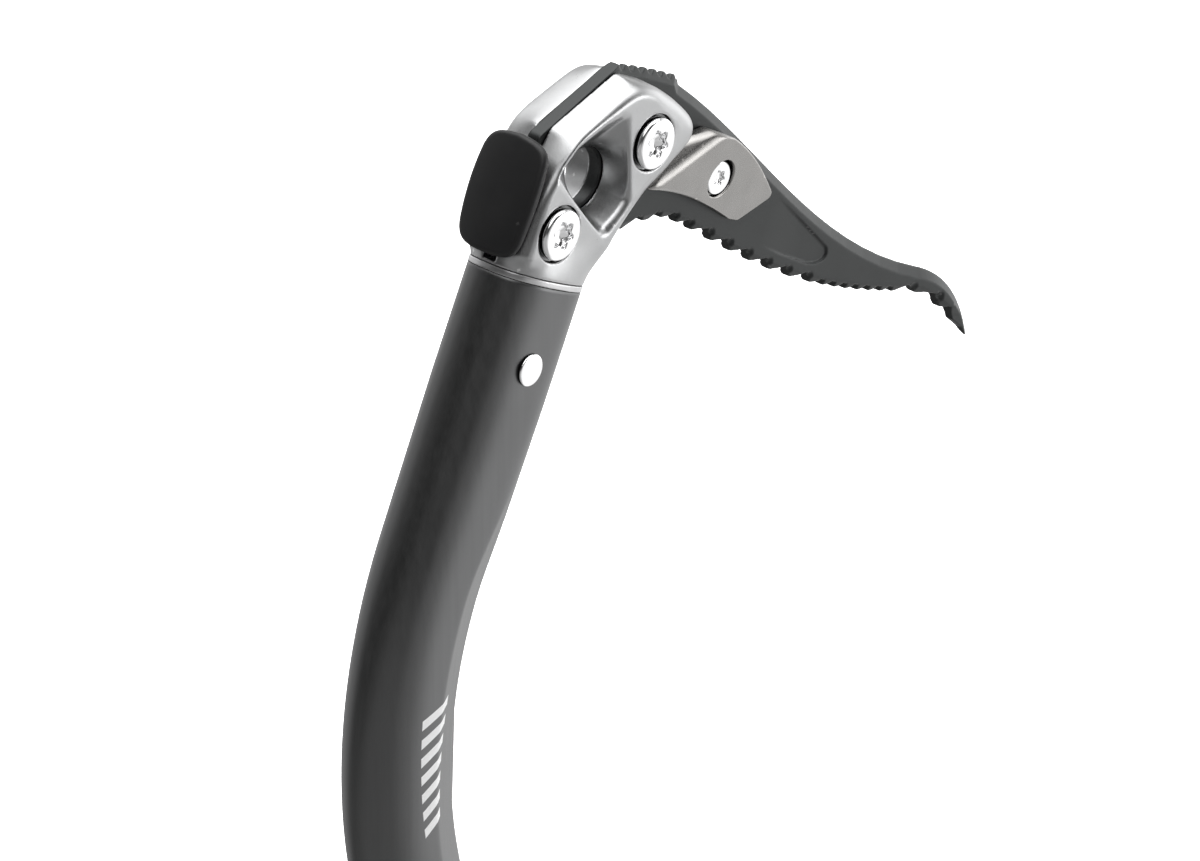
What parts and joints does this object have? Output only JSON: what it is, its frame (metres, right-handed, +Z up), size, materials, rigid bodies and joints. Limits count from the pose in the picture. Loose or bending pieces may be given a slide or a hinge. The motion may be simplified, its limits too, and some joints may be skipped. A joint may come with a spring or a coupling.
{
  "type": "technical ice axe",
  "caption": "Ice axe with a bent oval alloy shaft, forged head, toothed steel pick, hammer, pick weights, rubber grip, sliding finger rest, folding grip rest and spike.",
  "frame": {"origin": "centre of the bounding box in X and Y, at the height of the spike's point", "axes": "+Z up along the axe from spike to head, +X the way the pick points, Y across the shaft's width"},
  "size_m": [0.232, 0.031, 0.5004],
  "materials": {
    "shaft_anodised": "charcoal anodised, satin",
    "forged_alloy": "bead-blasted satin silver",
    "collar_alloy": "fine machined",
    "fastener_steel": "polished stainless",
    "pick_steel": "black oxide, satin",
    "weight_steel": "warm satin steel",
    "hammer_steel": "black coated, satin",
    "grip_rubber": "matte moulded",
    "rest_polymer": "fine texture",
    "lever_alloy": "dark anodised",
    "button_polymer": "satin"
  },
  "bodies": {
    "axe": {"shaft_tube": "shaft_anodised", "head_body": "forged_alloy", "head_collar": "collar_alloy", "head_rivet": "fastener_steel", "pick_bolt_upper": "fastener_steel", "pick_bolt_lower": "fastener_steel", "pick_nut_upper": "fastener_steel", "pick_nut_lower": "fastener_steel", "pick": "pick_steel", "hammer": "hammer_steel", "pick_weight_left": "weight_steel", "pick_weight_right": "weight_steel", "pick_weight_screw": "fastener_steel", "pick_weight_nut": "fastener_steel", "grip_sleeve": "grip_rubber", "spike_ferrule": "forged_alloy", "spike": "fastener_steel", "spike_rivet": "fastener_steel", "grip_rest_bracket": "lever_alloy", "grip_rest_pin": "fastener_steel"},
    "finger_rest": {"finger_rest_body": "rest_polymer", "finger_rest_liner": "grip_rubber", "finger_rest_pin": "fastener_steel"},
    "finger_lever": {"finger_rest_lever": "lever_alloy"},
    "folding_rest": {"grip_rest": "rest_polymer", "grip_rest_pad": "grip_rubber"},
    "release_button": {"grip_rest_button": "button_polymer"}
  },
  "joints": [
    {"name": "finger_rest_slide", "type": "slide", "parent": "axe", "child": "finger_rest", "axis": [-0.2079, 0, 0.9781], "range_m": [-0.03, 0.072]},
    {"name": "finger_lever_hinge", "type": "hinge", "parent": "finger_rest", "child": "finger_lever", "pos_m": [-0.10447, 0, 0.21896], "axis": [0, 1, 0], "range_deg": [0, 35]},
    {"name": "grip_rest_fold", "type": "hinge", "parent": "axe", "child": "folding_rest", "pos_m": [-0.01523, 0, 0.0396], "axis": [0, -1, 0], "range_deg": [0, 85]},
    {"name": "release_button_press", "type": "slide", "parent": "axe", "child": "release_button", "axis": [0, 1, 0], "range_m": [0, 0.0012], "stiffness_N_per_m": 800}
  ]
}
